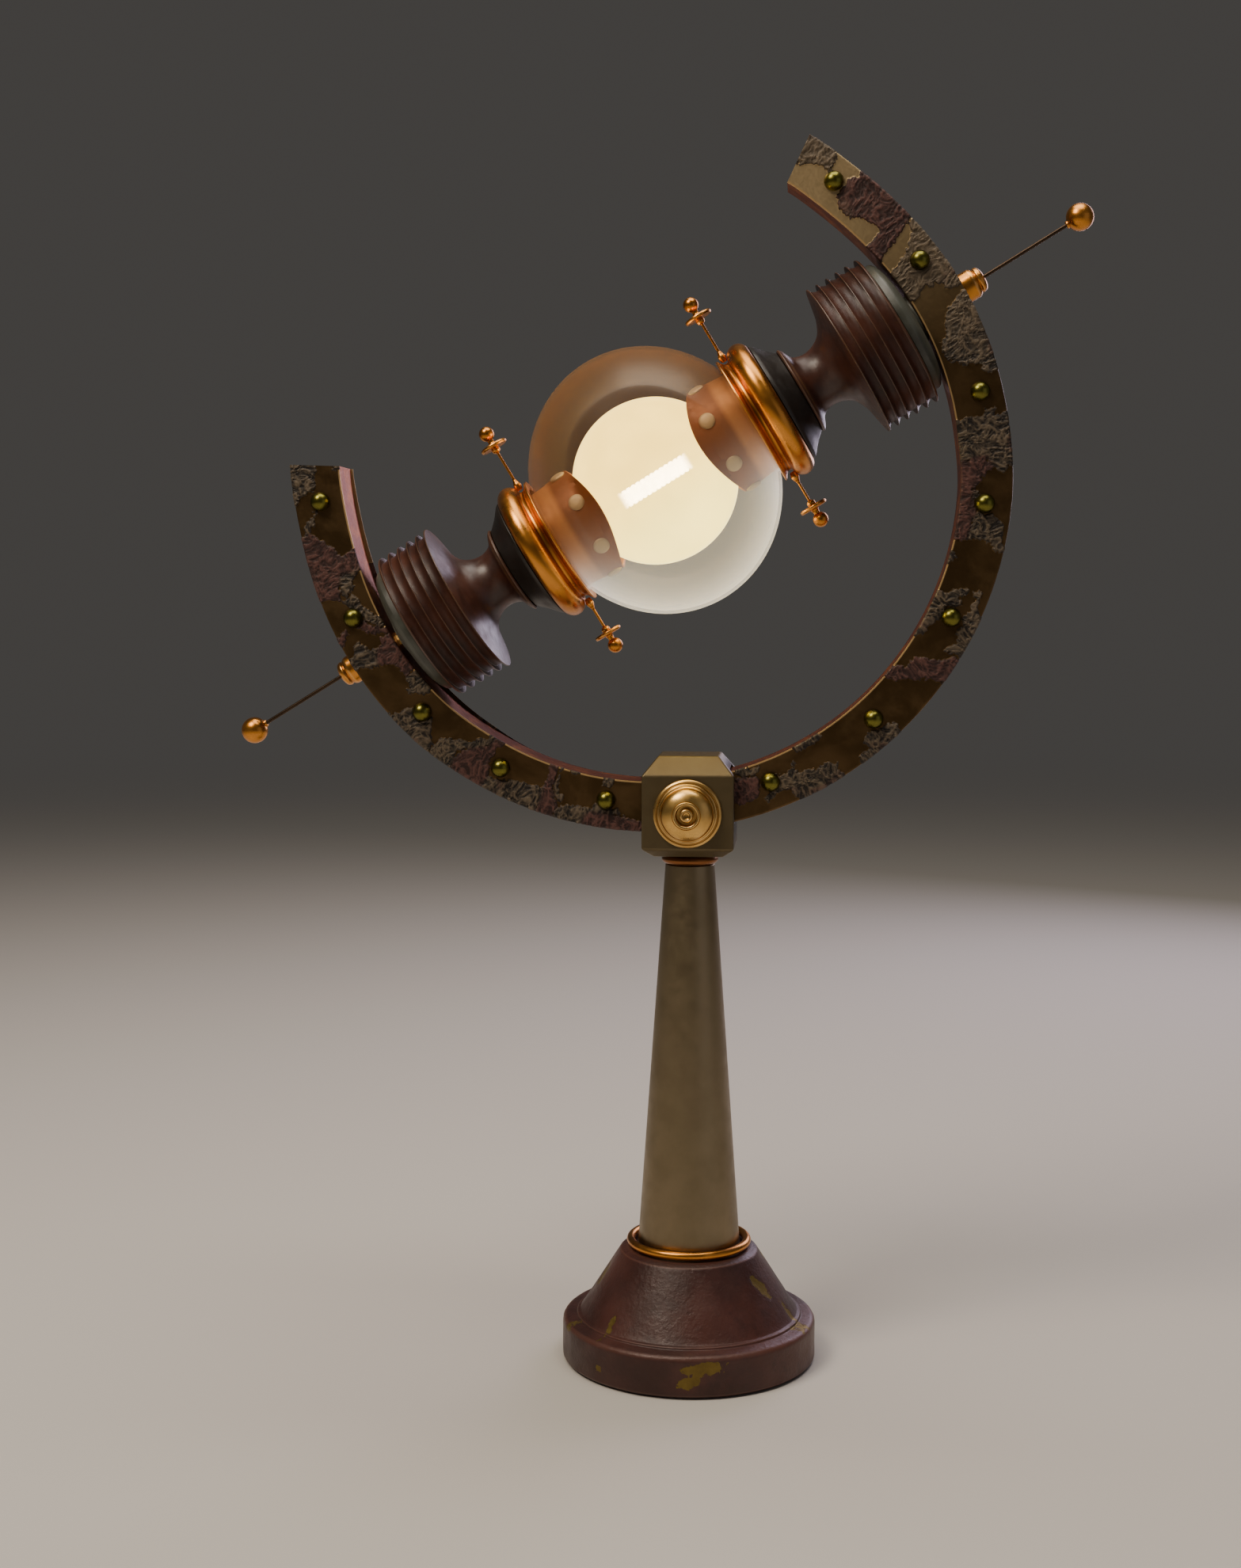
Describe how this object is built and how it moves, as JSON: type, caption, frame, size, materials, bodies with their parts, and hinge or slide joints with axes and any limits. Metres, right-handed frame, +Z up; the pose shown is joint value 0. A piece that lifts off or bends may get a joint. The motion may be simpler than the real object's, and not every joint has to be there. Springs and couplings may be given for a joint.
{
  "type": "radiometer",
  "caption": "Table radiometer: a sealed glass globe with a lit bulb turns on an axle across a C-shaped arc, which slides through a clamp block on a tapered column and round base.",
  "frame": {"origin": "centre of the base's underside, on the surface it stands on", "axes": "+Z up along the column; X along the arc's plane; -Y towards the clamp knob's side, the front"},
  "size_m": [0.312, 0.0992, 0.447],
  "materials": {
    "felt": "pressed wool felt",
    "oxblood_paint": "old oxblood-brown enamel, satin, chipped through to brass colour",
    "copper": "polished warm copper, light tarnish",
    "pewter_column": "satin bronze-grey, turned",
    "steel": "plain turned steel",
    "block_paint": "olive-grey satin paint",
    "gold_brass": "polished gold brass",
    "arc_copper": "copper-plated casting, worn and heat-toned",
    "worn_brass": "satin gold brass with raised mauve-brown corrosion in patches",
    "rivet_brass": "polished greenish brass",
    "cup_enamel": "pale grey-green glaze, satin",
    "insulator_glaze": "dark oxblood glaze, satin sheen, gold-brown wear on the ridges",
    "cone_black": "near-black satin glaze",
    "globe_glass": "clear, faintly smoked brown",
    "bulb_glass": "frosted, lit warm white",
    "filament_glow": "white-hot bar"
  },
  "bodies": {
    "stand": {"base_pad": "felt", "base": "oxblood_paint", "foot_ring": "copper", "column": "pewter_column", "tie_rod": "steel", "tie_nut": "steel", "tie_washer": "steel", "swivel_pin": "steel", "swivel_nut": "steel"},
    "head": {"top_collar": "copper", "block": "block_paint", "clamp_shoe": "gold_brass", "clamp_boss": "gold_brass"},
    "knob": {"clamp_knob": "gold_brass", "clamp_screw": "gold_brass"},
    "arc": {"arc_core": "arc_copper", "arc_front_plate": "worn_brass", "arc_back_plate": "worn_brass", "arc_rivet_01": "rivet_brass", "arc_rivet_02": "rivet_brass", "arc_rivet_03": "rivet_brass", "arc_rivet_04": "rivet_brass", "arc_rivet_05": "rivet_brass", "arc_rivet_06": "rivet_brass", "arc_rivet_07": "rivet_brass", "arc_rivet_08": "rivet_brass", "arc_rivet_09": "rivet_brass", "arc_rivet_10": "rivet_brass", "arc_rivet_11": "rivet_brass", "arc_rivet_12": "rivet_brass", "bearing_cup_left": "cup_enamel", "bearing_cup_right": "cup_enamel", "bearing_bush_left": "gold_brass", "bearing_bush_right": "gold_brass", "terminal_nut_left": "copper", "terminal_nut_right": "copper"},
    "lamp": {"globe": "globe_glass", "bulb": "bulb_glass", "filament": "filament_glow", "axle_left": "steel", "axle_right": "steel", "end_ball_left": "copper", "end_ball_right": "copper", "insulator_left": "insulator_glaze", "insulator_right": "insulator_glaze", "cone_left": "cone_black", "cone_right": "cone_black", "collar_left": "copper", "collar_right": "copper", "cap_left": "copper", "cap_right": "copper", "filament_post_left": "steel", "filament_post_right": "steel", "finial_left_upper": "copper", "finial_left_lower": "copper", "finial_right_upper": "copper", "finial_right_lower": "copper"}
  },
  "joints": [
    {"name": "head_swivel", "type": "hinge", "parent": "stand", "child": "head", "pos_m": [0, 0, 0.1892], "axis": [0, 0, 1], "continuous": true},
    {"name": "knob_turn", "type": "hinge", "parent": "head", "child": "knob", "pos_m": [0, -0.0168, 0.2076], "axis": [0, -1, 0], "range_deg": [-270, 90]},
    {"name": "arc_tilt", "type": "hinge", "parent": "head", "child": "arc", "pos_m": [-0.01414, 0, 0.32982], "axis": [0, -1, 0], "range_deg": [-80, 35]},
    {"name": "globe_spin", "type": "hinge", "parent": "arc", "child": "lamp", "pos_m": [-0.01312, 0, 0.32816], "axis": [0.8536, 0, 0.521], "continuous": true}
  ]
}
